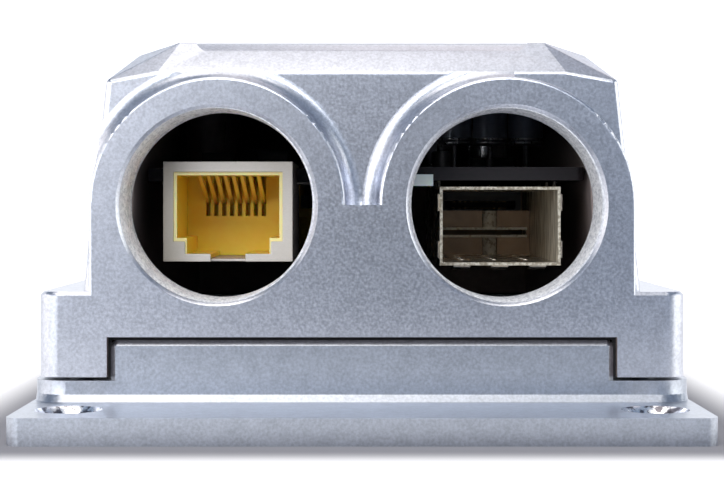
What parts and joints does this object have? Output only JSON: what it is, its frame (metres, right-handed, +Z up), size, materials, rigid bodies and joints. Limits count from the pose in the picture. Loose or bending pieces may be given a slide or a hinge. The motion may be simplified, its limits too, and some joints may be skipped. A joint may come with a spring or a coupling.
{
  "type": "fibre media converter",
  "caption": "Low die-cast housing on a flanged base, two threaded cable ports in front: a shielded modular socket behind one, a fibre transceiver cage behind the other.",
  "frame": {"origin": "centre of the base plate's underside", "axes": "the two cable ports face -Y, +Z is up, +X is to the right as seen from the ports"},
  "size_m": [0.076, 0.142, 0.0449],
  "materials": {
    "cast_cover": "die-cast, fine speckled silver grey, satin",
    "cast_base": "die-cast, fine speckled silver grey, satin",
    "seal_rubber": "moulded black silicone, matt",
    "screw_steel": "bright zinc plated steel",
    "board_laminate": "glass laminate with dark solder mask",
    "shield_steel": "tin plated sheet, satin",
    "amber_plastic": "amber yellow moulding, satin",
    "gold_contact": "gold plated wire",
    "cage_nickel": "nickel silver sheet, bright",
    "black_plastic": "black moulding compound",
    "tin_lead": "tinned leads",
    "pad_silicone": "soft grey heat-conducting pad",
    "ferrite": "sintered ferrite, dark grey",
    "wound_coil": "winding under yellow tape",
    "can_aluminium": "drawn aluminium can",
    "cap_sleeve": "dark blue-grey sleeve over an aluminium can",
    "can_steel": "drawn nickel plated can",
    "ceramic": "ceramic chips with tinned ends",
    "lamp_plastic": "pale clear resin"
  },
  "bodies": {
    "root": {"cover": "cast_cover", "base": "cast_base", "gasket": "seal_rubber", "cover_screws": "screw_steel", "board": "board_laminate", "board_screws": "screw_steel", "socket_shield": "shield_steel", "socket_insert": "amber_plastic", "socket_contacts": "gold_contact", "fibre_cage": "cage_nickel", "cage_fingers": "cage_nickel", "card_connector": "black_plastic", "card_contacts": "gold_contact", "isolation_block": "black_plastic", "isolation_pins": "tin_lead", "converter_chip": "black_plastic", "chip_pins": "tin_lead", "thermal_pad": "pad_silicone", "transformer_core": "ferrite", "transformer_coil": "wound_coil", "can_capacitors": "can_aluminium", "filter_capacitors": "cap_sleeve", "power_inductor": "ferrite", "rectifiers": "black_plastic", "regulator": "black_plastic", "crystal": "can_steel", "chip_parts": "ceramic", "status_lamp": "lamp_plastic"}
  },
  "joints": []
}
